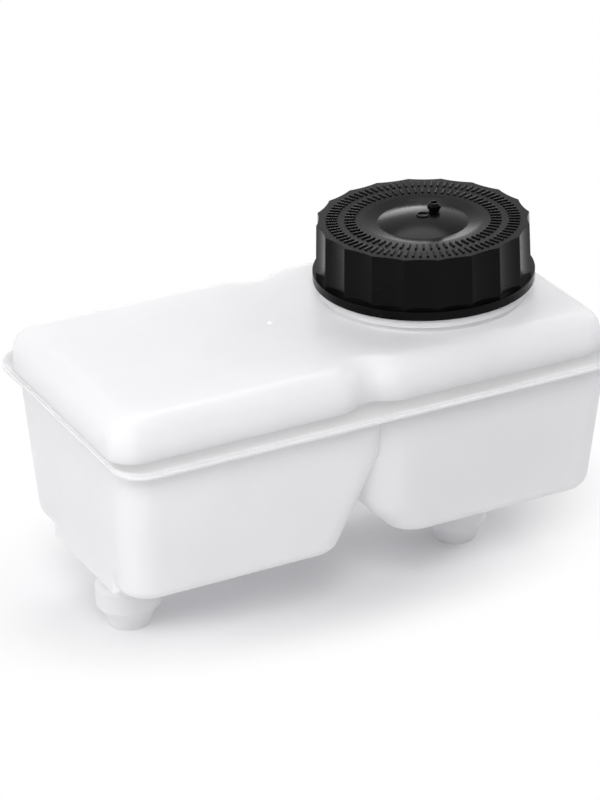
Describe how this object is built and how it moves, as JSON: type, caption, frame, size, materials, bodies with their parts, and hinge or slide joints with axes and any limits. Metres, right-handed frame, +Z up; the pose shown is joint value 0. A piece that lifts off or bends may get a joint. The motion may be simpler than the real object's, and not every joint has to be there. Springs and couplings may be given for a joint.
{
  "type": "brake fluid reservoir",
  "caption": "Waisted translucent fluid tank with a flat weld flange, a fluted screw cap on a short neck and beaded outlet spigots underneath.",
  "frame": {"origin": "middle of the weld flange's length and width, in the plane of the outlet spigots' ends", "axes": "+X along the tank towards the end with the filler neck, +Z up along the filler cap's axis"},
  "size_m": [0.1386, 0.0804, 0.0927],
  "materials": {
    "tank_plastic": "natural translucent polypropylene, satin",
    "cap_plastic": "black polypropylene, satin",
    "seal_rubber": "matt"
  },
  "bodies": {
    "tank": {"upper_shell": "tank_plastic", "lower_shell": "tank_plastic"},
    "seal": {"cap_seal": "seal_rubber"},
    "cap": {"filler_cap": "cap_plastic"}
  },
  "joints": [
    {"name": "cap_lift", "type": "slide", "parent": "tank", "child": "seal", "axis": [0, 0, 1], "range_m": [0, 0.0101]},
    {"name": "cap_turn", "type": "hinge", "parent": "seal", "child": "cap", "pos_m": [0.0305, 0, 0.0745], "axis": [0, 0, 1], "range_deg": [0, 900]}
  ],
  "couplings": [
    {"joint": "cap_lift", "follows": "cap_turn", "m_per_rad": 0.00063662}
  ]
}
